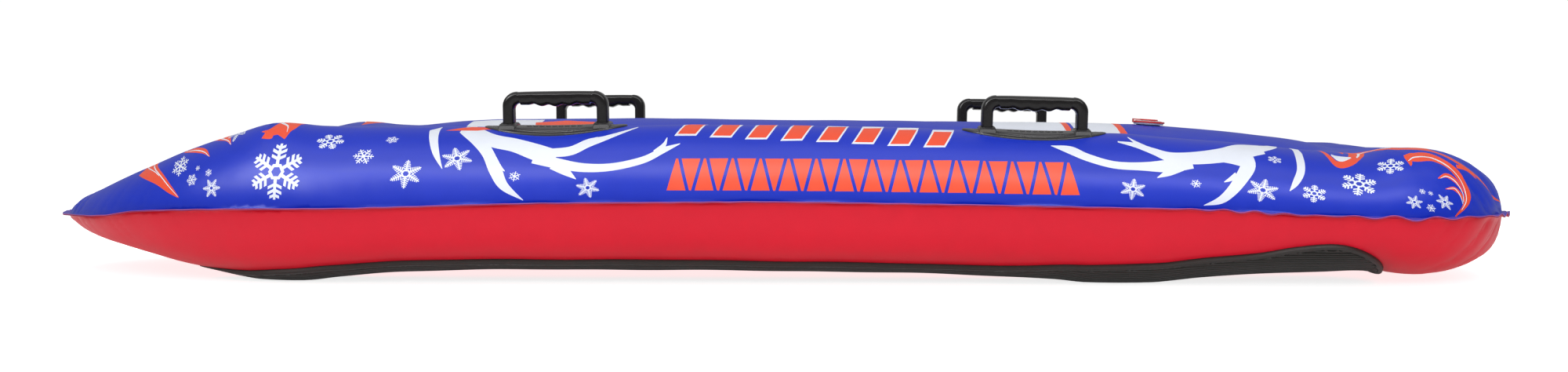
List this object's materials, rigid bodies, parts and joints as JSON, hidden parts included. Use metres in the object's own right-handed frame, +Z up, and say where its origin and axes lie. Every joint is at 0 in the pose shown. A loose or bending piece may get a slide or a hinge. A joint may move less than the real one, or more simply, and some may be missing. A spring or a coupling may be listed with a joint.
{
  "type": "inflatable snow sled",
  "caption": "Long two-rider inflatable snow sled with a printed top, ribbed runner pads, moulded grab handles and an inflation valve.",
  "frame": {"origin": "middle of the outline, on the ground under the runner pads", "axes": "+X towards the tail, +Y towards the far side, +Z up; the nose points along -X"},
  "size_m": [1.8706, 0.698, 0.2312],
  "materials": {
    "blue_sheet": "printed satin vinyl",
    "red_sheet": "satin vinyl",
    "runner_pad": "ribbed matt",
    "handle_plate": "satin",
    "handle_grip": "soft gloss",
    "web_sheet": "plain vinyl",
    "valve_clear": "translucent",
    "valve_weld": "plain vinyl",
    "stopper_red": "satin"
  },
  "bodies": {
    "hull": {"top_skin": "blue_sheet", "bottom_skin": "red_sheet", "runner_near": "runner_pad", "runner_far": "runner_pad", "beam_near": "web_sheet", "beam_far": "web_sheet", "nose_web": "web_sheet", "tail_web": "web_sheet", "handle_base_front_near": "handle_plate", "handle_base_front_far": "handle_plate", "handle_base_rear_near": "handle_plate", "handle_base_rear_far": "handle_plate", "handle_grip_front_near": "handle_grip", "handle_grip_front_far": "handle_grip", "handle_grip_rear_near": "handle_grip", "handle_grip_rear_far": "handle_grip", "valve_flange": "valve_weld", "valve_stem": "valve_clear", "valve_tether": "stopper_red"},
    "stopper": {"valve_plug": "stopper_red"},
    "check_flap": {"valve_flap": "valve_weld"}
  },
  "joints": [
    {"name": "stopper_hinge", "type": "hinge", "parent": "hull", "child": "stopper", "pos_m": [0.48177, 0, 0.19646], "axis": [0, -1, 0], "range_deg": [0, 140]},
    {"name": "flap_hinge", "type": "hinge", "parent": "hull", "child": "check_flap", "pos_m": [0.48847, 0, 0.177], "axis": [0, 1, 0], "range_deg": [0, 55], "stiffness_Nm_per_rad": 0.0003, "springref_deg": -28.65}
  ]
}
